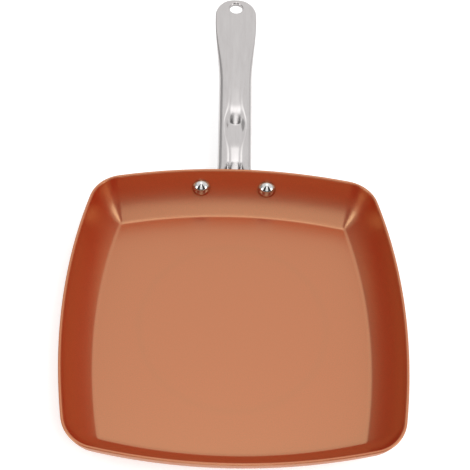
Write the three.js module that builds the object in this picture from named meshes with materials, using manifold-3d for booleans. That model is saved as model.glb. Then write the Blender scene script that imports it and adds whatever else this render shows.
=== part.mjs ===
// A square frying pan: a pressed aluminium body with bowed sides and a flared wall, a perforated steel
// disc let into its underside for induction hobs, and a hollow steel handle held by a riveted bracket.
// Millimetres, +Z up. The origin is the centre of the underside and the handle points along +Y.

import * as THREE from 'three';
import { LoftGeometry } from 'three/addons/geometries/LoftGeometry.js';
import { mergeVertices } from 'three/addons/utils/BufferGeometryUtils.js';
import Module from 'manifold-3d';

const { clamp, degToRad, lerp, smoothstep } = THREE.MathUtils;
const UP = new THREE.Vector3(0, 0, 1);

// Driving dimensions of the pan body
const RIM_WIDTH = 244;
const PAN_HEIGHT = 40;
const WALL = 2;
const FLOOR = 3.6;
const WALL_CURVE = 61.2;
const RIM_LEAN = degToRad(6);
const FOOT_LEAN = degToRad(44.6);
const LIP_EDGE = 0.5;

// The sides bow outwards. Towards the floor their radius and the corner radius both shrink.
const RIM_BOW = 443;
const BOW_PER_MM = 2.23;
const RIM_CORNER = 27;
const CORNER_PER_MM = 1.2;
const LEAST_CORNER = 2.5;

// Driving dimensions of the induction plate, whose holes the pan's aluminium fills
const PLATE_DIAMETER = 140;
const PLATE_THICKNESS = 1.5;
const PLATE_HOLE = 8;
const PLATE_HOLE_RINGS = [{ radius: 19, holes: 6 }, { radius: 37, holes: 12 }, { radius: 55, holes: 18 }];

// Driving dimensions of the handle
const HANDLE_LENGTH = 182.6;
const HANDLE_ROOT = new THREE.Vector2(119.4, 25);
const ROOT_SLOPE = degToRad(20);
const TIP_SLOPE = degToRad(8);
const GRIP_WIDTH = 28.1;
const PADDLE_WIDTH = 36.5;
const WIDENING = { from: 92, to: 160 };
const END_ROUNDING = { length: 19.3, power: 2.2, share: 0.985 };
const SHEET = 1.4;
const CROWN_POWER = 2.5;
const UPPER_CROWN = { grip: 7.8, paddle: 2.8, rootRoll: 0.75 };
const LOWER_CROWN = { grip: 4.6, paddle: 2, rootRoll: 0 };
const THINNING = { from: 80, to: 165 };
const TIP_ROLL = { length: 3.3, share: 0.9 };
const ROOT_ROLL = { length: 20, power: 1.5 };
const HOLLOW_END = 158;
const HANDLE_LEAD = 10;

// A groove along the upper half fades towards the end. In it a ramp deepens to the stop of the thumb rest.
const GROOVE = { width: 12.6, depth: 0.8, fadeFrom: 80, fadeTo: 130 };
const REST = { width: 17.8, depth: 5.2, widenFrom: 20, widest: 42, narrowFrom: 52, narrowTo: 74 };
const REST_RAMP = { from: 16, to: 51, power: 1.3 };
const REST_STOP_END = 68;
const RELIEF_BOWL = 0.7;
const RELIEF_SIDE = 0.66;

// The hanging hole widens into a rounded edge at the top face
const HOLE_AT = 172;
const HOLE_DIAMETER = 11.2;
const HOLE_EDGE = 1.7;

// Driving dimensions of the bracket and the rivets
const BRACKET = { thickness: 2, width: 76, height: 22 };
const BRACKET_END_SHARE = 0.97;
const TONGUE = { width: 14, reach: 34, bottom: -2.6, top: 0.6 };
const RIVET_SPACING = 53.4;
const RIVET_HEIGHT = 23.3;
const RIVET_SHANK = 4.5;
const RIVET_DRILL = 16;
const INNER_HEAD = { diameter: 13.4, height: 5 };
const OUTER_HEAD = { diameter: 11, height: 1.8, edge: 0.6 };

// Pieces that touch are drawn this far apart
const GAP = 0.3;

// Fineness of the facets
const SIDE_STEPS = 8;
const CORNER_STEPS = 8;
const WALL_STEPS = 8;
const FILLET_STEPS = 4;
const RUN_STEPS = 8;
const END_STEPS = 8;
const CROWN_STEPS = 16;
const ROUND_STEPS = 24;
const DISC_STEPS = 72;
const DOME_STEPS = 8;
const PLUG_STEPS = 10;
const BAND_STEPS = 12;
const TONGUE_STEPS = 4;
const HOLE_EDGE_STEPS = 3;

const coppered = { color: 0xb4683f, metalness: 0.85, roughness: 0.38 };
const polished = { color: 0xcfccca, metalness: 1, roughness: 0.16 };
const satin = { color: 0xb9b8b5, metalness: 1, roughness: 0.34 };

const wasm = await Module();
wasm.setup();

// A closed geometry as a solid that can be joined and cut
function solid(geometry) {
  const plain = new THREE.BufferGeometry();
  plain.setAttribute('position', geometry.attributes.position);
  plain.setIndex(geometry.index);
  const merged = mergeVertices(plain);
  const triVerts = new Uint32Array(merged.index.array);
  const vertProperties = merged.attributes.position.array;
  return new wasm.Manifold(new wasm.Mesh({ numProp: 3, vertProperties, triVerts }));
}

function meshOf(name, body, finish) {
  const { vertProperties, triVerts } = body.getMesh();
  const geometry = new THREE.BufferGeometry();
  geometry.setAttribute('position', new THREE.BufferAttribute(vertProperties, 3));
  geometry.setIndex(new THREE.BufferAttribute(triVerts, 1));
  geometry.computeVertexNormals();
  const mesh = new THREE.Mesh(geometry, new THREE.MeshStandardMaterial(finish));
  mesh.name = name;
  return mesh;
}

function loft(sections) {
  return new LoftGeometry(sections, { capStart: true, capEnd: true });
}

// An upright disc or plug on the Z axis
function disc(diameter, bottom, top, steps) {
  const geometry = new THREE.CylinderGeometry(diameter / 2, diameter / 2, top - bottom, steps);
  geometry.rotateX(Math.PI / 2);
  geometry.translate(0, 0, (bottom + top) / 2);
  return geometry;
}

// Radius of the bowed sides of the outline that has this half-width
function bowRadius(halfWidth) {
  return RIM_BOW + BOW_PER_MM * (halfWidth - RIM_WIDTH / 2);
}

function cornerRadius(halfWidth) {
  return Math.max(LEAST_CORNER, RIM_CORNER + CORNER_PER_MM * (halfWidth - RIM_WIDTH / 2));
}

// The bowed square at one height, anticlockwise from above: four arcs for the sides, four for the corners
function bowedSquare(halfWidth, z) {
  const bow = bowRadius(halfWidth);
  const corner = cornerRadius(halfWidth);
  const setBack = bow - halfWidth;
  const cornerAt = (Math.sqrt(2 * (bow - corner) ** 2 - setBack ** 2) - setBack) / 2;
  const sideAngle = Math.atan2(cornerAt, cornerAt + setBack);
  const points = [];
  for (let quarter = 0; quarter < 4; quarter += 1) {
    const turn = quarter * Math.PI / 2;
    const place = (x, y) => {
      points.push(new THREE.Vector3(x, y, z).applyAxisAngle(UP, turn));
    };
    for (let step = 0; step < SIDE_STEPS; step += 1) {
      const angle = lerp(-sideAngle, sideAngle, step / SIDE_STEPS);
      place(bow * Math.cos(angle) - setBack, bow * Math.sin(angle));
    }
    for (let step = 0; step < CORNER_STEPS; step += 1) {
      const angle = lerp(sideAngle, Math.PI / 2 - sideAngle, step / CORNER_STEPS);
      place(cornerAt + corner * Math.cos(angle), cornerAt + corner * Math.sin(angle));
    }
  }
  return points;
}

// A point of the wall's curve where it leans by this angle, a given distance outside its outer face:
// x is the half-width there and y the height
function wallCurve(outside, lean) {
  const radius = WALL_CURVE + outside;
  const acrossCentre = RIM_WIDTH / 2 - WALL_CURVE * Math.cos(RIM_LEAN);
  const heightCentre = PAN_HEIGHT + WALL_CURVE * Math.sin(RIM_LEAN);
  return new THREE.Vector2(acrossCentre + radius * Math.cos(lean), heightCentre - radius * Math.sin(lean));
}

// A point of the handle's side of the wall, at a distance x from the middle
function wallPoint(x, outside, lean) {
  const { x: halfWidth, y: height } = wallCurve(outside, lean);
  const bow = bowRadius(halfWidth);
  return new THREE.Vector3(x, halfWidth - bow + Math.sqrt(bow ** 2 - x ** 2), height);
}

// The section of one face of the pan from the edge of a flat, round the foot and up the wall
function wallProfile(outside, flatHeight) {
  const foot = wallCurve(outside, FOOT_LEAN);
  const fillet = (foot.y - flatHeight) / (1 - Math.sin(FOOT_LEAN));
  const profile = [];
  for (let step = 0; step < FILLET_STEPS; step += 1) {
    const lean = lerp(Math.PI / 2, FOOT_LEAN, step / FILLET_STEPS);
    const across = foot.x + fillet * (Math.cos(lean) - Math.cos(FOOT_LEAN));
    const height = foot.y - fillet * (Math.sin(lean) - Math.sin(FOOT_LEAN));
    profile.push(new THREE.Vector2(across, height));
  }
  for (let step = 0; step < WALL_STEPS; step += 1) {
    profile.push(wallCurve(outside, lerp(FOOT_LEAN, RIM_LEAN, step / WALL_STEPS)));
  }
  return profile;
}

function loftSquares(profile) {
  return loft(profile.map((point) => bowedSquare(point.x, point.y)));
}

// Pan body: the outer form less the cooking space, the recess that the induction plate is pressed into,
// and two rivet holes
function panBody() {
  const outerRim = RIM_WIDTH / 2;
  const outerProfile = wallProfile(0, 0);
  outerProfile.push(new THREE.Vector2(outerRim, PAN_HEIGHT - LIP_EDGE));
  outerProfile.push(new THREE.Vector2(outerRim - LIP_EDGE, PAN_HEIGHT));

  const innerRim = wallCurve(-WALL, RIM_LEAN).x;
  const innerProfile = wallProfile(-WALL, FLOOR);
  innerProfile.push(new THREE.Vector2(innerRim, PAN_HEIGHT - LIP_EDGE));
  innerProfile.push(new THREE.Vector2(innerRim + 2 * LIP_EDGE, PAN_HEIGHT + LIP_EDGE));

  let body = solid(loftSquares(outerProfile)).subtract(solid(loftSquares(innerProfile)));
  const recess = disc(PLATE_DIAMETER + 2 * GAP, -GAP, PLATE_THICKNESS + GAP, DISC_STEPS);
  body = body.subtract(solid(recess));
  const studTop = (PLATE_THICKNESS + FLOOR) / 2;
  for (const stud of plateHoles(PLATE_HOLE - 2 * GAP, 0, studTop)) body = body.add(stud);
  for (const side of [-1, 1]) body = body.subtract(rivetHole(side));
  return body;
}

// A plug for each hole in the rings of the induction plate
function plateHoles(diameter, bottom, top) {
  const plugs = [];
  for (const { radius, holes } of PLATE_HOLE_RINGS) {
    for (let hole = 0; hole < holes; hole += 1) {
      const angle = hole / holes * 2 * Math.PI;
      const plug = disc(diameter, bottom, top, PLUG_STEPS);
      plug.translate(radius * Math.cos(angle), radius * Math.sin(angle), 0);
      plugs.push(solid(plug));
    }
  }
  return plugs;
}

// Induction plate: a disc with rings of holes, flush with the underside
function inductionPlate() {
  let plate = solid(disc(PLATE_DIAMETER, 0, PLATE_THICKNESS, DISC_STEPS));
  for (const hole of plateHoles(PLATE_HOLE, -GAP, PLATE_THICKNESS + GAP)) plate = plate.subtract(hole);
  return plate;
}

// Where a rivet crosses the middle of the wall, with its axis square to the wall and pointing outwards
function rivetPlacement(side) {
  const middle = -WALL / 2;
  const level = wallCurve(middle, 0);
  const lean = Math.asin((level.y - RIVET_HEIGHT) / (WALL_CURVE + middle));
  const seat = wallPoint(side * RIVET_SPACING / 2, middle, lean);
  const sideways = seat.x / bowRadius(wallCurve(middle, lean).x);
  const outwards = new THREE.Vector3(sideways, Math.cos(lean), -Math.sin(lean)).normalize();
  const turn = new THREE.Quaternion().setFromUnitVectors(new THREE.Vector3(0, 1, 0), outwards);
  return { seat, turn, lean };
}

function rivetHole(side) {
  const { seat, turn } = rivetPlacement(side);
  const radius = RIVET_SHANK / 2 + GAP;
  const drill = new THREE.CylinderGeometry(radius, radius, RIVET_DRILL, ROUND_STEPS);
  drill.applyQuaternion(turn);
  drill.translate(seat.x, seat.y, seat.z);
  return solid(drill);
}

// Rivet: a domed head inside the pan, a shank, and a flat head outside the bracket
function rivet() {
  const headRadius = INNER_HEAD.diameter / 2;
  const shankRadius = RIVET_SHANK / 2;
  const hollowOfWall = headRadius ** 2 / (2 * (WALL_CURVE - WALL));
  const innerSeat = -WALL / 2 - GAP - hollowOfWall;
  const outerSeat = WALL / 2 + 2 * GAP + BRACKET.thickness;
  const profile = [];
  for (let step = 0; step <= DOME_STEPS; step += 1) {
    const angle = step / DOME_STEPS * Math.PI / 2;
    const height = innerSeat - INNER_HEAD.height * Math.cos(angle);
    profile.push(new THREE.Vector2(headRadius * Math.sin(angle), height));
  }
  profile.push(new THREE.Vector2(shankRadius, innerSeat));
  profile.push(new THREE.Vector2(shankRadius, outerSeat));
  profile.push(new THREE.Vector2(OUTER_HEAD.diameter / 2, outerSeat));
  profile.push(new THREE.Vector2(OUTER_HEAD.diameter / 2, outerSeat + OUTER_HEAD.height - OUTER_HEAD.edge));
  profile.push(new THREE.Vector2(OUTER_HEAD.diameter / 2 - OUTER_HEAD.edge, outerSeat + OUTER_HEAD.height));
  profile.push(new THREE.Vector2(0, outerSeat + OUTER_HEAD.height));
  return solid(new THREE.LatheGeometry(profile, ROUND_STEPS));
}

// A point of the handle: s runs along its arched centre line, w across it and n up from its parting line
function handlePoint(s, w, n) {
  const bend = (ROOT_SLOPE - TIP_SLOPE) / HANDLE_LENGTH;
  const slope = ROOT_SLOPE - bend * s;
  const along = HANDLE_ROOT.x + (Math.sin(ROOT_SLOPE) - Math.sin(slope)) / bend;
  const height = HANDLE_ROOT.y + (Math.cos(slope) - Math.cos(ROOT_SLOPE)) / bend;
  return new THREE.Vector3(w, along - n * Math.sin(slope), height + n * Math.cos(slope));
}

// Half the handle's width: an even grip that widens into a paddle with a round end
function handleHalfWidth(s) {
  const half = lerp(GRIP_WIDTH, PADDLE_WIDTH, smoothstep(s, WIDENING.from, WIDENING.to)) / 2;
  const { length, power, share } = END_ROUNDING;
  const intoEnd = Math.max(0, (s - HANDLE_LENGTH) / length + share);
  return half * (1 - intoEnd ** power) ** (1 / power);
}

// Height of a shell's crown above the parting line: lower at the root, thinner towards the paddle and
// rolled over at the tip
function crownHeight(crown, s) {
  const height = lerp(crown.grip, crown.paddle, smoothstep(s, THINNING.from, THINNING.to));
  const intoRoot = clamp(1 - s / ROOT_ROLL.length, 0, 1);
  const intoTip = Math.max(0, (s - HANDLE_LENGTH) / TIP_ROLL.length + TIP_ROLL.share);
  return height * (1 - crown.rootRoll * intoRoot ** ROOT_ROLL.power) * Math.sqrt(1 - intoTip ** 2);
}

// Depth of the groove and the thumb rest below the upper crown: a shallow bowl between two steep sides
function thumbRelief(s, w) {
  const downRamp = clamp((s - REST_RAMP.from) / (REST_RAMP.to - REST_RAMP.from), 0, 1);
  const upStop = clamp((s - REST_RAMP.to) / (REST_STOP_END - REST_RAMP.to), 0, 1);
  const restShare = downRamp ** REST_RAMP.power * (1 - upStop) ** 2;
  const grooveDepth = GROOVE.depth * (1 - smoothstep(s, GROOVE.fadeFrom, GROOVE.fadeTo));
  const widened = smoothstep(s, REST.widenFrom, REST.widest);
  const opening = widened * (1 - smoothstep(s, REST.narrowFrom, REST.narrowTo));
  const across = Math.abs(2 * w) / lerp(GROOVE.width, REST.width, opening);
  const bowl = (1 - RELIEF_BOWL * across ** 2) * (1 - smoothstep(across, RELIEF_SIDE, 1));
  return lerp(grooveDepth, REST.depth, restShare) * bowl;
}

function noRelief() {
  return 0;
}

// One section across half the handle, edge to edge over the crown. An inset draws the inside of the sheet.
function crownSection(s, { crown, facing, relief }, inset, edge) {
  const halfWidth = handleHalfWidth(s) - inset;
  const height = crownHeight(crown, s) - inset;
  const points = [];
  for (let step = 0; step <= CROWN_STEPS; step += 1) {
    const across = Math.sin(lerp(-Math.PI / 2, Math.PI / 2, step / CROWN_STEPS));
    const rise = (1 - Math.abs(across) ** CROWN_POWER) ** (1 / CROWN_POWER);
    const w = halfWidth * across;
    const n = lerp(edge, height, rise) - relief(s, w);
    points.push(handlePoint(s, facing * w, facing * n));
  }
  return points;
}

// Stations along the grip, closest together where the thumb rest climbs its stop
function gripStations(start, end) {
  const bounds = [start, REST_RAMP.to, REST_STOP_END, end];
  const stations = [];
  for (let run = 0; run + 1 < bounds.length; run += 1) {
    for (let step = 0; step < RUN_STEPS; step += 1) {
      stations.push(lerp(bounds[run], bounds[run + 1], step / RUN_STEPS));
    }
  }
  return stations;
}

// The outer form of half the handle, with closer sections where its end rounds off
function handleForm(half) {
  const endStart = HANDLE_LENGTH - END_ROUNDING.length;
  const stations = gripStations(-HANDLE_LEAD, endStart);
  for (let step = 0; step <= END_STEPS; step += 1) {
    stations.push(lerp(endStart, HANDLE_LENGTH, Math.sin(step / END_STEPS * Math.PI / 2)));
  }
  return solid(loft(stations.map((s) => crownSection(s, half, 0, GAP / 2))));
}

// The space inside half the handle, open at the root and across the parting line
function handleHollow(half) {
  const stations = [...gripStations(-HANDLE_LEAD - SHEET, HOLLOW_END), HOLLOW_END];
  return solid(loft(stations.map((s) => crownSection(s, half, SHEET, -SHEET))));
}

// The hanging hole as a solid of revolution, with a quarter-round at each face
function hangingHole() {
  const reach = 2 * UPPER_CROWN.grip;
  const radius = HOLE_DIAMETER / 2;
  const mouth = radius + HOLE_EDGE;
  const profile = [new THREE.Vector2(0, -reach), new THREE.Vector2(mouth, -reach)];
  const roundEdge = (face, facing) => {
    for (let step = 0; step <= HOLE_EDGE_STEPS; step += 1) {
      const angle = (facing < 0 ? step : HOLE_EDGE_STEPS - step) / HOLE_EDGE_STEPS * Math.PI / 2;
      const inwards = HOLE_EDGE * Math.sin(angle);
      profile.push(new THREE.Vector2(mouth - inwards, face - facing * HOLE_EDGE * (1 - Math.cos(angle))));
    }
  };
  roundEdge(-crownHeight(LOWER_CROWN, HOLE_AT), -1);
  roundEdge(crownHeight(UPPER_CROWN, HOLE_AT), 1);
  profile.push(new THREE.Vector2(mouth, reach), new THREE.Vector2(0, reach));
  const cutter = new THREE.LatheGeometry(profile, ROUND_STEPS);
  const centre = handlePoint(HOLE_AT, 0, 0);
  const upwards = handlePoint(HOLE_AT, 0, 1).sub(centre);
  cutter.applyQuaternion(new THREE.Quaternion().setFromUnitVectors(new THREE.Vector3(0, 1, 0), upwards));
  cutter.translate(centre.x, centre.y, centre.z);
  return solid(cutter);
}

// A handle half: its form, hollowed, pierced for hanging and trimmed to stand on the bracket
function handleShell(half) {
  const bracketFace = 2 * GAP + BRACKET.thickness;
  const trim = wallBand(GRIP_WIDTH, -WALL_CURVE / 2, bracketFace, () => GRIP_WIDTH);
  return handleForm(half).subtract(handleHollow(half)).subtract(hangingHole()).subtract(trim);
}

// A band that follows the wall on the handle's side, centred on the rivets, between two distances outside it
function wallBand(halfLength, from, to, halfHeightAt) {
  const { lean: middle } = rivetPlacement(1);
  const sections = [];
  for (let across = 0; across <= BAND_STEPS; across += 1) {
    const x = halfLength * Math.sin(lerp(-Math.PI / 2, Math.PI / 2, across / BAND_STEPS));
    const halfLean = halfHeightAt(x) / WALL_CURVE;
    const outer = [];
    const inner = [];
    for (let step = 0; step <= BAND_STEPS / 2; step += 1) {
      const lean = lerp(middle + halfLean, middle - halfLean, step / (BAND_STEPS / 2));
      outer.push(wallPoint(x, to, lean));
      inner.unshift(wallPoint(x, from, lean));
    }
    sections.push([...outer, ...inner]);
  }
  return solid(loft(sections));
}

// Bracket: a plate with round ends on the wall, and a tongue that the handle's halves close over
function handleBracket() {
  const endRadius = BRACKET.height / 2;
  const straight = BRACKET.width / 2 - endRadius;
  const plateHalfHeight = (x) => {
    const intoEnd = BRACKET_END_SHARE * Math.max(0, Math.abs(x) - straight);
    return Math.sqrt(endRadius ** 2 - intoEnd ** 2);
  };
  const plate = wallBand(BRACKET.width / 2, GAP, GAP + BRACKET.thickness, plateHalfHeight);

  const sections = [];
  for (let step = 0; step <= TONGUE_STEPS; step += 1) {
    const s = lerp(-HANDLE_LEAD, TONGUE.reach, step / TONGUE_STEPS);
    const half = TONGUE.width / 2;
    sections.push([
      handlePoint(s, -half, TONGUE.bottom),
      handlePoint(s, -half, TONGUE.top),
      handlePoint(s, half, TONGUE.top),
      handlePoint(s, half, TONGUE.bottom),
    ]);
  }
  const behindPlate = wallBand(GRIP_WIDTH, -WALL_CURVE / 2, GAP + BRACKET.thickness / 2, () => GRIP_WIDTH);
  const tongue = solid(loft(sections)).subtract(behindPlate);

  let bracket = plate.add(tongue);
  for (const side of [-1, 1]) bracket = bracket.subtract(rivetHole(side));
  return bracket;
}

const upperHalf = { crown: UPPER_CROWN, facing: 1, relief: thumbRelief };
const lowerHalf = { crown: LOWER_CROWN, facing: -1, relief: noRelief };

const pan = new THREE.Group();
pan.add(meshOf('pan_body', panBody(), coppered));
pan.add(meshOf('induction_plate', inductionPlate(), satin));
pan.add(meshOf('handle_bracket', handleBracket(), satin));
pan.add(meshOf('handle_upper_shell', handleShell(upperHalf), polished));
pan.add(meshOf('handle_lower_shell', handleShell(lowerHalf), polished));
for (const { name, side } of [{ name: 'rivet_left', side: -1 }, { name: 'rivet_right', side: 1 }]) {
  const { seat, turn } = rivetPlacement(side);
  const rivetMesh = meshOf(name, rivet(), polished);
  rivetMesh.position.copy(seat);
  rivetMesh.quaternion.copy(turn);
  pan.add(rivetMesh);
}

export default pan;
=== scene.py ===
import math

import bpy
from mathutils import Matrix, Vector


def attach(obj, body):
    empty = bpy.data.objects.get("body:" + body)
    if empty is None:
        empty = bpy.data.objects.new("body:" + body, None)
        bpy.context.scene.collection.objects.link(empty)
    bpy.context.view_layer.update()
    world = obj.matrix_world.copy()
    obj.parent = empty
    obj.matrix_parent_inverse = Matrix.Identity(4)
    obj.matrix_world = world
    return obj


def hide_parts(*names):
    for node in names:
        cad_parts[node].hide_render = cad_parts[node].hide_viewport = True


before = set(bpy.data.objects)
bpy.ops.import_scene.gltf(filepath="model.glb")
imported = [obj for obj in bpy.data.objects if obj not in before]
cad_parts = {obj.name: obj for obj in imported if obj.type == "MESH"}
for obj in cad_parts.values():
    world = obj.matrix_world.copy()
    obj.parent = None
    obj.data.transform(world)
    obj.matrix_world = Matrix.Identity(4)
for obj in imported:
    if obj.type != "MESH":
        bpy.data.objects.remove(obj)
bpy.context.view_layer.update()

# The part's sizes are written in millimetres and its meshes are in metres
MM = 0.001

# Pan body: the wall is an arc in section, and its bow and corner radius shrink towards the floor
RIM_WIDTH = 244
PAN_HEIGHT = 40
WALL = 2
FLOOR = 3.6
FLOOR_INSET = 1
WALL_CURVE = 61.2
RIM_LEAN = math.radians(6)
FOOT_LEAN = math.radians(44.6)
LIP_ROUND = 0.9
RIM_BOW = 443
BOW_PER_MM = 2.23
RIM_CORNER = 27
CORNER_PER_MM = 1.2
LEAST_CORNER = 2.5

# Induction plate's seat in the base: each ring of holes is its radius and its count
PLATE_DIAMETER = 140
PLATE_THICKNESS = 1.5
PLATE_HOLE = 8
PLATE_HOLE_RINGS = ((19, 6), (37, 12), (55, 18))

# Handle: a pair is where along the handle a change starts and ends, apart from the root's Y and Z
HANDLE_LENGTH = 182.6
HANDLE_ROOT = (119.4, 25)
ROOT_SLOPE = math.radians(20)
TIP_SLOPE = math.radians(8)
GRIP_WIDTH = 28.1
PADDLE_WIDTH = 36.5
WIDENING = (92, 160)
END_LENGTH = 19.3
END_POWER = 2.2
END_SHARE = 0.985
CROWN_POWER = 2.5
UPPER_CROWN = {"grip": 7.8, "paddle": 2.7, "root_roll": 0.75}
LOWER_CROWN = {"grip": 4.6, "paddle": 2, "root_roll": 0}
THINNING = (80, 165)
TIP_ROLL = 3.3
TIP_ROLL_SHARE = 0.9
ROOT_ROLL = 17
ROOT_ROLL_POWER = 1.5
ROOT_STATION = 8
ROOT_SEARCH = (-12, 30)
ROOT_HALVINGS = 30
REST_RAMP = (28, 51)
REST_RAMP_POWER = 1.5
REST_STOP = (51, 68)
REST_WIDENS = (22, 46)
REST_NARROWS = (52, 74)
REST_WIDTH = 21
REST_DEPTH = 5.2
GROOVE_WIDTH = 12.6
GROOVE_DEPTH = 0.8
GROOVE_FADES = (80, 130)
RELIEF_BOWL = 0.9
RELIEF_SIDE = 0.45
HOLE_AT = 172
HOLE_DIAMETER = 11.2
HOLE_EDGE = 1.7

# Bracket and rivets
BRACKET_THICKNESS = 2
BRACKET_WIDTH = 76
BRACKET_HEIGHT = 22
BRACKET_EDGE = 0.5
RIVET_SPACING = 53.4
RIVET_HEIGHT = 23.3
RIVET_SHANK = 4.5
INNER_HEAD_DIAMETER = 14.6
INNER_HEAD_EDGE = math.radians(66)
INNER_HEAD_RIM = 0.4
OUTER_HEAD_DIAMETER = 11
OUTER_HEAD_HEIGHT = 1.8

# Touching pieces stand this far apart, as their solids do
GAP = 0.3

# Fineness of the meshes
SIDE_STEPS = 40
CORNER_STEPS = 20
WALL_STEPS = 32
FILLET_STEPS = 10
LIP_STEPS = 5
STUD_STEPS = 24
GRIP_STEPS = 150
END_STEPS = 24
CROWN_STEPS = 72
HOLE_EDGE_STEPS = 8
BRACKET_END_STEPS = 36
DOME_STEPS = 20
HEAD_EDGE_STEPS = 4
ROUND_STEPS = 72
SHARP_ANGLE = math.radians(40)
WELD_DISTANCE = 0.002

# Copper coat: a deep base colour, and flake that tints the reflections
COAT_BASE = (0.335, 0.008, 0.001)
COAT_ROUGHNESS = 0.3
FLAKE_TINT = (1, 0.69, 0.37)
FLAKE_IOR = 3.5
FLAKE_SCALE = 1400
FLAKE_DETAIL = 3
FLAKE_DARK = 0.8
FLAKE_BRIGHT = 1.18
FLAKE_RELIEF = 0.2
MARK_WIDTH = 5
MARK_SHADE = 0.94

# All finishes: the depth of their relief in metres, and the stretch of the noise that their colours span
RELIEF_DEPTH = 0.0002
NOISE_LOW = 0.3
NOISE_HIGH = 0.7

# Studio, in metres: a white floor, a soft box, and a tent that is white to the eye and dimmer as a light
FLOOR_REACH = 6
FLOOR_DROP = 0.0004
FLOOR_COLOUR = (0.8, 0.8, 0.8)
FLOOR_GLOW = 0.45
TENT_LIGHT = 0.76
LAMP_SIZE = 1.5
LAMP_RADIANCE = 7
LAMP_AT = (1, -1.2, 2.8)
GLOW_AT = (0, 0, 3)
GLOW_RADIUS = 1.3
GLOW_PEAK = 2

# Cards at the tent's opening, in metres: corners of the right-hand one of a pair
EDGE_CARD = ((0.35, -1.10, 0.15), (1.00, -0.78, 0.15), (0.14, -0.14, 1.5), (0.10, -0.16, 1.5))
EDGE_SHADE = 0.06
WING_CARD = ((1.05, -0.75, 0.1), (1.25, -0.35, 0.1), (1.15, -0.32, 0.75), (0.97, -0.70, 0.75))
WING_SHADE = 3.2

# Cards across the tent's opening, in metres: half-width, Y and Z of their level edges
OPENING_FOOT = (0.29, -0.96, 0.36)
OPENING_MIDDLE = (0.2, -0.63, 0.82)
OPENING_TOP = (0.08, -0.22, 1.4)
OPENING_LOW_SHADE = 1.2
OPENING_HIGH_SHADE = 1.7
SILL_FOOT = (0.7, -1.1, 0.01)
SILL_TOP = (0.5, -1, 0.3)
SILL_SHADE = 0.15

# Cards along the tent's sides, in metres
SIDE_AT = 2
SIDE_SPAN = (-1, 3)
SIDE_FOOT = 0.05
LEFT_LEAN = 0.2
LEFT_TOP = 1.45
LEFT_SHADE = 0.48
RIGHT_LEAN = 0.1
RIGHT_TOP = 0.95
RIGHT_SHADE = 0.8

# Camera, fitted to the photograph's outline of the rim, the floor and the handle; its aim is in X and Y
CAMERA_DISTANCE = 653.2
CAMERA_ELEVATION = math.radians(53.73)
CAMERA_TURN = math.radians(3.55)
CAMERA_ROLL = math.radians(-4.32)
CAMERA_AIM = (-3.46, 85.29)
CAMERA_LENS = 61.26
CAMERA_SENSOR = 36


def lerp(start, end, share):
    return start + (end - start) * share


def share_between(value, low, high):
    return min(1, max(0, (value - low) / (high - low)))


def smoothstep(value, low, high):
    share = share_between(value, low, high)
    return share * share * (3 - 2 * share)


def add_piece(name, points, faces, material):
    """A smooth mesh object from points in millimetres, with its sharp edges kept."""
    mesh = bpy.data.meshes.new(name)
    mesh.from_pydata([Vector(point) * MM for point in points], [], faces)
    mesh.validate()
    mesh.shade_smooth()
    mesh.set_sharp_from_angle(angle=SHARP_ANGLE)
    mesh.materials.append(material)
    piece = bpy.data.objects.new(name, mesh)
    bpy.context.scene.collection.objects.link(piece)
    return piece


def loft(rings):
    """Points and faces of a closed skin through rings of equal length, with a flat cap at each end."""
    count = len(rings[0])
    points = [point for ring in rings for point in ring]
    faces = []
    for row in range(len(rings) - 1):
        for column in range(count):
            after = (column + 1) % count
            near = row * count
            far = near + count
            faces.append((near + column, near + after, far + after, far + column))
    last = (len(rings) - 1) * count
    faces.append(tuple(reversed(range(count))))
    faces.append(tuple(range(last, last + count)))
    return points, faces


def lathe(profile):
    """Points and faces of a profile of (radius, height) turned about Z, with a flat cap at each end."""
    rings = []
    for radius, height in profile:
        ring = []
        for step in range(ROUND_STEPS):
            angle = step / ROUND_STEPS * 2 * math.pi
            ring.append(Vector((radius * math.cos(angle), radius * math.sin(angle), height)))
        rings.append(ring)
    return loft(rings)


# Pan body


def bow_radius(half_width):
    return RIM_BOW + BOW_PER_MM * (half_width - RIM_WIDTH / 2)


def bowed_square(half_width, height):
    """One outline of the pan: four bowed sides and four round corners, anticlockwise from above."""
    bow = bow_radius(half_width)
    corner = max(LEAST_CORNER, RIM_CORNER + CORNER_PER_MM * (half_width - RIM_WIDTH / 2))
    set_back = bow - half_width
    corner_at = (math.sqrt(2 * (bow - corner) ** 2 - set_back ** 2) - set_back) / 2
    side_angle = math.atan2(corner_at, corner_at + set_back)
    quarter = []
    for step in range(SIDE_STEPS):
        angle = lerp(-side_angle, side_angle, step / SIDE_STEPS)
        quarter.append((bow * math.cos(angle) - set_back, bow * math.sin(angle)))
    for step in range(CORNER_STEPS):
        angle = lerp(side_angle, math.pi / 2 - side_angle, step / CORNER_STEPS)
        quarter.append((corner_at + corner * math.cos(angle), corner_at + corner * math.sin(angle)))
    ring = []
    for turn in range(4):
        for x, y in quarter:
            for _ in range(turn):
                x, y = -y, x
            ring.append(Vector((x, y, height)))
    return ring


def wall_curve(outside, lean):
    """Half-width and height of the wall where it leans by an angle, some way outside its outer face."""
    radius = WALL_CURVE + outside
    across_centre = RIM_WIDTH / 2 - WALL_CURVE * math.cos(RIM_LEAN)
    height_centre = PAN_HEIGHT + WALL_CURVE * math.sin(RIM_LEAN)
    return across_centre + radius * math.cos(lean), height_centre - radius * math.sin(lean)


def wall_point(x, outside, lean):
    """A point of the back wall, at a distance outside its outer face."""
    half_width, height = wall_curve(outside, lean)
    bow = bow_radius(half_width)
    return Vector((x, half_width - bow + math.sqrt(bow ** 2 - x ** 2), height))


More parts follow.
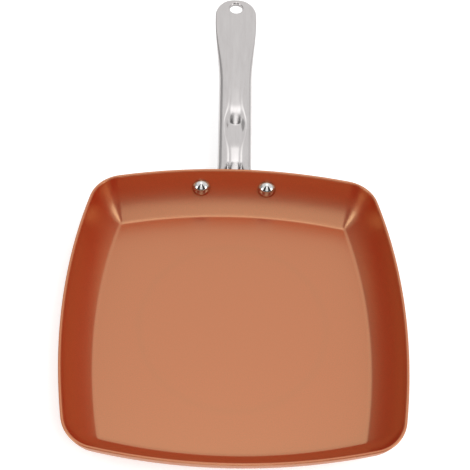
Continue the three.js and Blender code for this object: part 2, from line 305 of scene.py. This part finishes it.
def wall_profile(outside, flat_height):
    """One face of the pan in section, from the edge of a flat round the foot and up to the lip."""
    foot_across, foot_height = wall_curve(outside, FOOT_LEAN)
    fillet = (foot_height - flat_height) / (1 - math.sin(FOOT_LEAN))
    profile = []
    for step in range(FILLET_STEPS):
        lean = lerp(math.pi / 2, FOOT_LEAN, step / FILLET_STEPS)
        across = foot_across + fillet * (math.cos(lean) - math.cos(FOOT_LEAN))
        profile.append((across, foot_height - fillet * (math.sin(lean) - math.sin(FOOT_LEAN))))
    for step in range(WALL_STEPS):
        profile.append(wall_curve(outside, lerp(FOOT_LEAN, RIM_LEAN, step / WALL_STEPS)))
    return profile


def lip_profile():
    """The rounded edges of the lip, from its outer face over to its inner face."""
    outer = RIM_WIDTH / 2 - LIP_ROUND
    inner = wall_curve(-WALL, RIM_LEAN)[0] + LIP_ROUND
    height = PAN_HEIGHT - LIP_ROUND
    profile = []
    for centre, start in ((outer, 0), (inner, math.pi / 2)):
        for step in range(LIP_STEPS + 1):
            angle = start + step / LIP_STEPS * math.pi / 2
            profile.append((centre + LIP_ROUND * math.cos(angle), height + LIP_ROUND * math.sin(angle)))
    return profile


def circle_like(ring, radius, height):
    """A circle with one point in the direction of each point of another ring."""
    middle = Vector((0, 0, height))
    return [Vector((point.x, point.y, 0)).normalized() * radius + middle for point in ring]


def add_stud(points, faces, x, y):
    """A stud of the base that fills one hole of the induction plate."""
    radius = PLATE_HOLE / 2 - GAP
    rings = []
    for height in (PLATE_THICKNESS + 2 * GAP, 0):
        ring = []
        for step in range(STUD_STEPS):
            angle = -step / STUD_STEPS * 2 * math.pi
            ring.append(Vector((x + radius * math.cos(angle), y + radius * math.sin(angle), height)))
        rings.append(ring)
    stud_points, stud_faces = loft(rings)
    start = len(points)
    points.extend(stud_points)
    faces.extend(tuple(start + index for index in face) for face in stud_faces)


def pan_body(material):
    """One skin from the plate's seat, over the base, the outer wall and the lip, to the cooking surface."""
    below = wall_profile(0, 0)
    inside = wall_profile(-WALL, FLOOR)
    base = bowed_square(*below[0])
    recess = PLATE_DIAMETER / 2 + GAP
    rings = [circle_like(base, recess, PLATE_THICKNESS + GAP), circle_like(base, recess, 0)]
    for half_width, height in below + lip_profile() + list(reversed(inside)):
        rings.append(bowed_square(half_width, height))
    floor_edge = inside[0][0]
    rings.append(bowed_square(floor_edge - FLOOR_INSET, FLOOR))
    points, faces = loft(rings)
    for radius, holes in PLATE_HOLE_RINGS:
        for hole in range(holes):
            angle = hole / holes * 2 * math.pi
            add_stud(points, faces, radius * math.cos(angle), radius * math.sin(angle))
    return add_piece("pan", points, faces, material)


# Handle


def handle_point(station, across, up):
    """A point by its way along the handle's arched centre line, across it, and up from its parting line."""
    bend = (ROOT_SLOPE - TIP_SLOPE) / HANDLE_LENGTH
    slope = ROOT_SLOPE - bend * station
    reach = HANDLE_ROOT[0] + (math.sin(ROOT_SLOPE) - math.sin(slope)) / bend
    height = HANDLE_ROOT[1] + (math.cos(slope) - math.cos(ROOT_SLOPE)) / bend
    return Vector((across, reach - up * math.sin(slope), height + up * math.cos(slope)))


def handle_half_width(station):
    half = lerp(GRIP_WIDTH, PADDLE_WIDTH, smoothstep(station, *WIDENING)) / 2
    into_end = max(0, (station - HANDLE_LENGTH) / END_LENGTH + END_SHARE)
    return half * (1 - into_end ** END_POWER) ** (1 / END_POWER)


def crown_height(crown, station):
    """Height of one half of the handle along its middle, rolled down at the root and the tip."""
    height = lerp(crown["grip"], crown["paddle"], smoothstep(station, *THINNING))
    into_root = share_between(ROOT_ROLL - station, 0, ROOT_ROLL)
    into_tip = max(0, (station - HANDLE_LENGTH) / TIP_ROLL + TIP_ROLL_SHARE)
    at_root = 1 - crown["root_roll"] * into_root ** ROOT_ROLL_POWER
    return height * at_root * math.sqrt(1 - into_tip ** 2)


def thumb_relief(station, across):
    """Depth below the upper crown: a groove, which opens into a thumb rest with a stop at its far end."""
    down_ramp = share_between(station, *REST_RAMP)
    up_stop = share_between(station, *REST_STOP)
    rest_share = down_ramp ** REST_RAMP_POWER * (1 - up_stop) ** 2
    groove_depth = GROOVE_DEPTH * (1 - smoothstep(station, *GROOVE_FADES))
    opening = smoothstep(station, *REST_WIDENS) * (1 - smoothstep(station, *REST_NARROWS))
    to_side = abs(2 * across) / lerp(GROOVE_WIDTH, REST_WIDTH, opening)
    bowl = (1 - RELIEF_BOWL * to_side ** 2) * (1 - smoothstep(to_side, RELIEF_SIDE, 1))
    return lerp(groove_depth, REST_DEPTH, rest_share) * bowl


def no_relief(station, across):
    return 0


def bracket_lean_at(height):
    """The lean of the face on which the handle's root stands, at a height."""
    radius = WALL_CURVE + 2 * GAP + BRACKET_THICKNESS
    height_centre = PAN_HEIGHT + WALL_CURVE * math.sin(RIM_LEAN)
    return math.asin((height_centre - height) / radius)


def bracket_face_station(across, up):
    """Where along the handle a line comes clear of the bracket's face, found by halving."""
    low, high = ROOT_SEARCH
    for _ in range(ROOT_HALVINGS):
        middle = (low + high) / 2
        point = handle_point(middle, across, up)
        face = wall_point(point.x, 2 * GAP + BRACKET_THICKNESS, bracket_lean_at(point.z))
        if point.y < face.y:
            low = middle
        else:
            high = middle
    return high


def handle_stations():
    """Stations from the root to the tip, closer together as the tip rounds off."""
    end_start = HANDLE_LENGTH - END_LENGTH
    stations = [lerp(ROOT_STATION, end_start, step / GRIP_STEPS) for step in range(GRIP_STEPS)]
    for step in range(END_STEPS + 1):
        stations.append(lerp(end_start, HANDLE_LENGTH, math.sin(step / END_STEPS * math.pi / 2)))
    return stations


def crown_section(station, crown, facing, relief, at_root=False):
    """One section across half the handle; at the root each point runs on to the bracket's face."""
    half_width = handle_half_width(station)
    height = crown_height(crown, station)
    ring = []
    for step in range(CROWN_STEPS + 1):
        to_side = math.sin(lerp(-math.pi / 2, math.pi / 2, step / CROWN_STEPS))
        rise = (1 - abs(to_side) ** CROWN_POWER) ** (1 / CROWN_POWER)
        across = facing * half_width * to_side
        up = facing * (lerp(GAP / 2, height, rise) - relief(station, across))
        end = bracket_face_station(across, up) if at_root else station
        ring.append(handle_point(end, across, up))
    return ring


def hanging_hole():
    """The hole as a solid of revolution, with a quarter-round at each face."""
    reach = 2 * UPPER_CROWN["grip"]
    mouth = HOLE_DIAMETER / 2 + HOLE_EDGE
    lower = -crown_height(LOWER_CROWN, HOLE_AT)
    upper = crown_height(UPPER_CROWN, HOLE_AT)
    quarter_round = []
    for step in range(HOLE_EDGE_STEPS + 1):
        angle = step / HOLE_EDGE_STEPS * math.pi / 2
        quarter_round.append((mouth - HOLE_EDGE * math.sin(angle), HOLE_EDGE * (1 - math.cos(angle))))
    profile = [(mouth, -reach)]
    profile += [(radius, lower + depth) for radius, depth in quarter_round]
    profile += [(radius, upper - depth) for radius, depth in reversed(quarter_round)]
    profile.append((mouth, reach))
    points, faces = lathe(profile)
    centre = handle_point(HOLE_AT, 0, 0)
    upwards = handle_point(HOLE_AT, 0, 1) - centre
    turn = Vector((0, 0, 1)).rotation_difference(upwards)
    return [turn @ point + centre for point in points], faces


def cut_away(piece, points, faces):
    """Cuts a closed shape out of a piece and welds the slivers that the cut leaves."""
    cutter = add_piece("cutter", points, faces, piece.data.materials[0])
    cut = piece.modifiers.new("cut", "BOOLEAN")
    cut.operation = "DIFFERENCE"
    cut.solver = "EXACT"
    cut.object = cutter
    weld = piece.modifiers.new("weld", "WELD")
    weld.merge_threshold = WELD_DISTANCE * MM
    weighted = piece.modifiers.new("weighted", "WEIGHTED_NORMAL")
    weighted.keep_sharp = True
    view = bpy.context.evaluated_depsgraph_get()
    mesh = bpy.data.meshes.new_from_object(piece.evaluated_get(view))
    piece.modifiers.clear()
    piece.data = mesh
    bpy.data.objects.remove(cutter)


def handle_shell(name, crown, facing, relief, material):
    """One half of the handle: facing is 1 for the upper half and -1 for the lower."""
    stations = handle_stations()
    rings = [crown_section(stations[0], crown, facing, relief, at_root=True)]
    rings += [crown_section(station, crown, facing, relief) for station in stations]
    points, faces = loft(rings)
    piece = add_piece(name, points, faces, material)
    cut_away(piece, *hanging_hole())
    return piece


# Bracket and rivets


def rivet_lean():
    """The wall's lean where the rivets go through it."""
    middle = -WALL / 2
    return math.asin((wall_curve(middle, 0)[1] - RIVET_HEIGHT) / (WALL_CURVE + middle))


def bracket(material):
    """A plate with round ends that follows the wall."""
    end_radius = BRACKET_HEIGHT / 2
    straight = BRACKET_WIDTH / 2 - end_radius
    outline = []
    for side in (1, -1):
        for step in range(BRACKET_END_STEPS + 1):
            angle = step / BRACKET_END_STEPS * math.pi - math.pi / 2
            x = side * (straight + end_radius * math.cos(angle))
            outline.append((x, side * end_radius * math.sin(angle)))
    outer = GAP + BRACKET_THICKNESS
    outer_layers = [(outer, BRACKET_EDGE), (outer - BRACKET_EDGE, 0)]
    inner_layers = [(GAP + BRACKET_EDGE, 0), (GAP, BRACKET_EDGE)]
    rings = []
    for outside, inset in outer_layers + inner_layers:
        ring = []
        for x, up in outline:
            shrink = 1 - inset / end_radius
            lean = rivet_lean() - up * shrink / WALL_CURVE
            ring.append(wall_point(x * (1 - 2 * inset / BRACKET_WIDTH), outside, lean))
        rings.append(ring)
    points, faces = loft(rings)
    return add_piece("bracket", points, faces, material)


def rivet_profile():
    """Half of a rivet in section: a domed head in the pan, a shank, and a flat head behind the bracket."""
    head_radius = INNER_HEAD_DIAMETER / 2
    dome_radius = head_radius / math.sin(INNER_HEAD_EDGE)
    hollow_of_wall = head_radius ** 2 / (2 * (WALL_CURVE - WALL))
    inner_seat = -WALL / 2 - GAP - hollow_of_wall
    outer_seat = WALL / 2 + 2 * GAP + BRACKET_THICKNESS
    outer_radius = OUTER_HEAD_DIAMETER / 2
    outer_end = outer_seat + OUTER_HEAD_HEIGHT
    round_edge = OUTER_HEAD_HEIGHT / 2
    profile = []
    for step in range(1, DOME_STEPS + 1):
        angle = step / DOME_STEPS * INNER_HEAD_EDGE
        rise = dome_radius * (math.cos(angle) - math.cos(INNER_HEAD_EDGE)) + INNER_HEAD_RIM
        profile.append((dome_radius * math.sin(angle), inner_seat - rise))
    profile += [(head_radius, inner_seat), (RIVET_SHANK / 2, inner_seat)]
    profile += [(RIVET_SHANK / 2, outer_seat), (outer_radius, outer_seat)]
    for step in range(HEAD_EDGE_STEPS + 1):
        angle = step / HEAD_EDGE_STEPS * math.pi / 2
        radius = outer_radius - round_edge * (1 - math.cos(angle))
        profile.append((radius, outer_end - round_edge * (1 - math.sin(angle))))
    return profile


def rivet(name, side, material):
    """A rivet square to the wall, on one side of the handle."""
    points, faces = lathe(rivet_profile())
    lean = rivet_lean()
    seat = wall_point(side * RIVET_SPACING / 2, -WALL / 2, lean)
    sideways = seat.x / bow_radius(wall_curve(-WALL / 2, lean)[0])
    outwards = Vector((sideways, math.cos(lean), -math.sin(lean))).normalized()
    turn = Vector((0, 0, 1)).rotation_difference(outwards)
    return add_piece(name, [turn @ point + seat for point in points], faces, material)


# Materials


def new_material(name):
    material = bpy.data.materials.new(name)
    material.use_nodes = True
    nodes = material.node_tree.nodes
    return nodes, material.node_tree.links, nodes["Principled BSDF"], material


def object_noise(nodes, links, scale, detail=2, stretch=(1, 1, 1)):
    """Noise in the part's own space, stretched along an axis where the finish has a direction."""
    place = nodes.new("ShaderNodeTexCoord")
    mapping = nodes.new("ShaderNodeMapping")
    mapping.inputs["Scale"].default_value = stretch
    noise = nodes.new("ShaderNodeTexNoise")
    noise.inputs["Scale"].default_value = scale
    noise.inputs["Detail"].default_value = detail
    links.new(place.outputs["Object"], mapping.inputs["Vector"])
    links.new(mapping.outputs["Vector"], noise.inputs["Vector"])
    return noise.outputs["Fac"]


def colour_ramp(nodes, links, noise, dark, bright):
    ramp = nodes.new("ShaderNodeValToRGB")
    start, end = ramp.color_ramp.elements
    start.position = NOISE_LOW
    start.color = (*dark, 1)
    end.position = NOISE_HIGH
    end.color = (*bright, 1)
    links.new(noise, ramp.inputs["Fac"])
    return ramp.outputs["Color"]


def add_relief(nodes, links, shader, noise, strength):
    bump = nodes.new("ShaderNodeBump")
    bump.inputs["Strength"].default_value = strength
    bump.inputs["Distance"].default_value = RELIEF_DEPTH
    links.new(noise, bump.inputs["Height"])
    links.new(bump.outputs["Normal"], shader.inputs["Normal"])


def multiplied(nodes, links, first, second):
    """One colour times another; a Mix node's colour sockets come after those for numbers and vectors."""
    mix = nodes.new("ShaderNodeMix")
    mix.data_type = "RGBA"
    mix.blend_type = "MULTIPLY"
    mix.inputs["Factor"].default_value = 1
    first_colour, second_colour = mix.inputs[6:8]
    links.new(first, first_colour)
    links.new(second, second_colour)
    return mix.outputs[2]


def plate_mark(nodes, links):
    """A faint ring where the induction plate's edge shows through the floor."""
    place = nodes.new("ShaderNodeTexCoord")
    flat = nodes.new("ShaderNodeVectorMath")
    flat.operation = "MULTIPLY"
    flat.inputs[1].default_value = (1, 1, 0)
    links.new(place.outputs["Object"], flat.inputs[0])
    radius = nodes.new("ShaderNodeVectorMath")
    radius.operation = "LENGTH"
    links.new(flat.outputs["Vector"], radius.inputs[0])
    past_edge = nodes.new("ShaderNodeMath")
    past_edge.operation = "SUBTRACT"
    past_edge.inputs[1].default_value = PLATE_DIAMETER / 2 * MM
    links.new(radius.outputs["Value"], past_edge.inputs[0])
    from_edge = nodes.new("ShaderNodeMath")
    from_edge.operation = "ABSOLUTE"
    links.new(past_edge.outputs["Value"], from_edge.inputs[0])
    fade = nodes.new("ShaderNodeMapRange")
    fade.interpolation_type = "SMOOTHSTEP"
    fade.inputs["From Max"].default_value = MARK_WIDTH * MM
    fade.inputs["To Min"].default_value = MARK_SHADE
    links.new(from_edge.outputs["Value"], fade.inputs["Value"])
    return fade.outputs["Result"]


def copper_coat():
    """A deep orange coat full of fine metal flake: its reflections are pale copper and its base is deep."""
    nodes, links, shader, material = new_material("copper_coat")
    shader.inputs["Roughness"].default_value = COAT_ROUGHNESS
    shader.inputs["IOR"].default_value = FLAKE_IOR
    shader.inputs["Specular Tint"].default_value = (*FLAKE_TINT, 1)
    flake = object_noise(nodes, links, FLAKE_SCALE, detail=FLAKE_DETAIL)
    dark = [FLAKE_DARK * channel for channel in COAT_BASE]
    bright = [FLAKE_BRIGHT * channel for channel in COAT_BASE]
    colour = colour_ramp(nodes, links, flake, dark, bright)
    marked = multiplied(nodes, links, colour, plate_mark(nodes, links))
    links.new(marked, shader.inputs["Base Color"])
    add_relief(nodes, links, shader, flake, FLAKE_RELIEF)
    return material


def steel(name, roughness, scale, stretch, dark, bright, relief):
    """Bare steel whose grain shows a little in its colour and its relief."""
    nodes, links, shader, material = new_material(name)
    shader.inputs["Metallic"].default_value = 1
    shader.inputs["Roughness"].default_value = roughness
    grain = object_noise(nodes, links, scale, stretch=stretch)
    links.new(colour_ramp(nodes, links, grain, dark, bright), shader.inputs["Base Color"])
    add_relief(nodes, links, shader, grain, relief)
    return material


def polished_steel():
    """Polished sheet with faint lines of polishing along the handle."""
    return steel(
        "polished_steel",
        roughness=0.19,
        scale=260,
        stretch=(1, 0.04, 1),
        dark=(0.55, 0.525, 0.52),
        bright=(0.59, 0.565, 0.56),
        relief=0.03,
    )


def rivet_steel():
    """Bright polished steel with small marks from setting."""
    return steel(
        "rivet_steel",
        roughness=0.07,
        scale=600,
        stretch=(1, 1, 1),
        dark=(0.58, 0.57, 0.56),
        bright=(0.65, 0.64, 0.63),
        relief=0.04,
    )


def satin_steel():
    """Rolled steel with a satin face."""
    return steel(
        "satin_steel",
        roughness=0.34,
        scale=400,
        stretch=(0.05, 1, 1),
        dark=(0.44, 0.435, 0.43),
        bright=(0.56, 0.55, 0.545),
        relief=0.06,
    )


# Studio


def seen_ray(nodes, links):
    """1 for rays that the camera sees directly, in a reflection or through glass."""
    path = nodes.new("ShaderNodeLightPath")
    either = nodes.new("ShaderNodeMath")
    either.operation = "MAXIMUM"
    links.new(path.outputs["Is Camera Ray"], either.inputs[0])
    links.new(path.outputs["Is Glossy Ray"], either.inputs[1])
    any_of = nodes.new("ShaderNodeMath")
    any_of.operation = "MAXIMUM"
    links.new(either.outputs["Value"], any_of.inputs[0])
    links.new(path.outputs["Is Transmission Ray"], any_of.inputs[1])
    return any_of.outputs["Value"]


def level_square(half):
    """Corners of a level square round the origin."""
    return (-half, -half, 0), (half, -half, 0), (half, half, 0), (-half, half, 0)


def add_sheet(name, corners, material):
    """A flat piece of the studio between four corners."""
    mesh = bpy.data.meshes.new(name)
    mesh.from_pydata(corners, [], [(0, 1, 2, 3)])
    mesh.materials.append(material)
    sheet = bpy.data.objects.new(name, mesh)
    bpy.context.scene.collection.objects.link(sheet)
    return sheet


def floor_material():
    """White to the eye and in reflections, with the object's shadow kept."""
    nodes, links, shader, material = new_material("studio_floor")
    shader.inputs["Base Color"].default_value = (*FLOOR_COLOUR, 1)
    shader.inputs["Roughness"].default_value = 1
    shader.inputs["Specular IOR Level"].default_value = 0
    glow = nodes.new("ShaderNodeEmission")
    glow.inputs["Strength"].default_value = FLOOR_GLOW
    both = nodes.new("ShaderNodeAddShader")
    links.new(shader.outputs["BSDF"], both.inputs[0])
    links.new(glow.outputs["Emission"], both.inputs[1])
    pick = nodes.new("ShaderNodeMixShader")
    links.new(seen_ray(nodes, links), pick.inputs["Fac"])
    links.new(shader.outputs["BSDF"], pick.inputs[1])
    links.new(both.outputs["Shader"], pick.inputs[2])
    links.new(pick.outputs["Shader"], nodes["Material Output"].inputs["Surface"])
    return material


def add_floor():
    floor = add_sheet("floor", level_square(FLOOR_REACH), floor_material())
    floor.location.z = -FLOOR_DROP


def add_world():
    """A tent of even light: white where it is seen or reflected, and dimmer where it lights the object."""
    world = bpy.data.worlds.new("studio")
    world.use_nodes = True
    nodes = world.node_tree.nodes
    links = world.node_tree.links
    background = nodes["Background"]
    background.inputs["Color"].default_value = (1, 1, 1, 1)
    level = nodes.new("ShaderNodeMapRange")
    level.inputs["To Min"].default_value = TENT_LIGHT
    links.new(seen_ray(nodes, links), level.inputs["Value"])
    links.new(level.outputs["Result"], background.inputs["Strength"])
    bpy.context.scene.world = world


def add_lamp():
    """A soft box overhead, in front and to the right, which reflections don't show."""
    data = bpy.data.lights.new("soft_box", "AREA")
    data.shape = "DISK"
    data.size = LAMP_SIZE
    data.energy = LAMP_RADIANCE * math.pi ** 2 * (LAMP_SIZE / 2) ** 2
    lamp = bpy.data.objects.new("soft_box", data)
    lamp.location = LAMP_AT
    lamp.rotation_euler = Vector(LAMP_AT).to_track_quat("Z", "Y").to_euler()
    lamp.visible_glossy = False
    bpy.context.scene.collection.objects.link(lamp)


def add_card(name, corners, shade):
    """A card that only reflections show."""
    material = bpy.data.materials.new(name)
    material.use_nodes = True
    nodes = material.node_tree.nodes
    nodes.clear()
    glow = nodes.new("ShaderNodeEmission")
    glow.inputs["Color"].default_value = (shade, shade, shade, 1)
    output = nodes.new("ShaderNodeOutputMaterial")
    material.node_tree.links.new(glow.outputs["Emission"], output.inputs["Surface"])
    card = add_sheet(name, corners, material)
    card.visible_camera = False
    card.visible_diffuse = False
    card.visible_shadow = False
    return card


def add_glow():
    """A soft box as reflections show it: brightest in the middle, and level with the tent at its edge."""
    card = add_card("glow", level_square(GLOW_RADIUS), 1)
    card.location = GLOW_AT
    tree = card.data.materials[0].node_tree
    place = tree.nodes.new("ShaderNodeTexCoord")
    distance = tree.nodes.new("ShaderNodeVectorMath")
    distance.operation = "LENGTH"
    tree.links.new(place.outputs["Object"], distance.inputs[0])
    fall = tree.nodes.new("ShaderNodeMapRange")
    fall.interpolation_type = "SMOOTHSTEP"
    fall.inputs["From Max"].default_value = GLOW_RADIUS
    fall.inputs["To Min"].default_value = GLOW_PEAK
    fall.inputs["To Max"].default_value = 1
    tree.links.new(distance.outputs["Value"], fall.inputs["Value"])
    tree.links.new(fall.outputs["Result"], tree.nodes["Emission"].inputs["Strength"])


def add_pair(name, corners, shade):
    """A card on the right and its mirror image on the left."""
    for label, side in (("left", -1), ("right", 1)):
        add_card(f"{name}_{label}", [(side * x, y, z) for x, y, z in corners], shade)


def add_side(name, side, lean, top, shade):
    """A card along one side of the tent, which leans in towards its top."""
    front, back = SIDE_SPAN
    foot_x = side * SIDE_AT
    top_x = side * (SIDE_AT - lean)
    foot = [(foot_x, front, SIDE_FOOT), (foot_x, back, SIDE_FOOT)]
    add_card(name, foot + [(top_x, back, top), (top_x, front, top)], shade)


def add_front(name, foot, top, shade):
    """A card across the front, between two level edges."""
    foot_half, foot_y, foot_z = foot
    top_half, top_y, top_z = top
    foot_edge = [(-foot_half, foot_y, foot_z), (foot_half, foot_y, foot_z)]
    add_card(name, foot_edge + [(top_half, top_y, top_z), (-top_half, top_y, top_z)], shade)


def add_cards():
    """The tent's opening, its dark edges that lean together over the object, and its grey sides."""
    add_pair("edge", EDGE_CARD, EDGE_SHADE)
    add_side("side_left", -1, LEFT_LEAN, LEFT_TOP, LEFT_SHADE)
    add_side("side_right", 1, RIGHT_LEAN, RIGHT_TOP, RIGHT_SHADE)
    add_pair("wing", WING_CARD, WING_SHADE)
    add_front("opening_low", OPENING_FOOT, OPENING_MIDDLE, OPENING_LOW_SHADE)
    add_front("opening_high", OPENING_MIDDLE, OPENING_TOP, OPENING_HIGH_SHADE)
    add_front("sill", SILL_FOOT, SILL_TOP, SILL_SHADE)


def add_camera():
    sine = math.sin(CAMERA_ELEVATION)
    cosine = math.cos(CAMERA_ELEVATION)
    aim_x, aim_y = CAMERA_AIM
    eye = Vector((aim_x, aim_y - CAMERA_DISTANCE * cosine, CAMERA_DISTANCE * sine)) * MM
    right = Vector((1, 0, 0))
    up = Vector((0, sine, cosine))
    back = Vector((0, -cosine, sine))
    rolled_right = math.cos(CAMERA_ROLL) * right - math.sin(CAMERA_ROLL) * up
    rolled_up = math.sin(CAMERA_ROLL) * right + math.cos(CAMERA_ROLL) * up
    axes = Matrix((rolled_right, rolled_up, back)).transposed().to_4x4()
    data = bpy.data.cameras.new("camera")
    data.sensor_width = CAMERA_SENSOR
    data.lens = CAMERA_LENS
    camera = bpy.data.objects.new("camera", data)
    camera.matrix_world = Matrix.Rotation(-CAMERA_TURN, 4, "Z") @ Matrix.Translation(eye) @ axes
    bpy.context.scene.collection.objects.link(camera)
    bpy.context.scene.camera = camera


# Assembly

copper = copper_coat()
polished = polished_steel()
riveted = rivet_steel()
satin = satin_steel()

pan = pan_body(copper)
handle_upper = handle_shell("handle_upper", UPPER_CROWN, 1, thumb_relief, polished)
handle_lower = handle_shell("handle_lower", LOWER_CROWN, -1, no_relief, polished)

dressed = [
    (pan, "pan_body", "copper_coat"),
    (handle_upper, "handle_upper_shell", "polished_steel"),
    (handle_lower, "handle_lower_shell", "polished_steel"),
    (bracket(satin), "handle_bracket", "satin_steel"),
    (rivet("rivet_l", -1, riveted), "rivet_left", "rivet_steel"),
    (rivet("rivet_r", 1, riveted), "rivet_right", "rivet_steel"),
]
for piece, node, slot in dressed:
    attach(piece, "root")
    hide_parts(node)

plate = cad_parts["induction_plate"]
plate.data.materials.clear()
plate.data.materials.append(satin)

add_floor()
add_world()
add_lamp()
add_glow()
add_cards()
add_camera()
bpy.context.scene.view_settings.view_transform = "Standard"
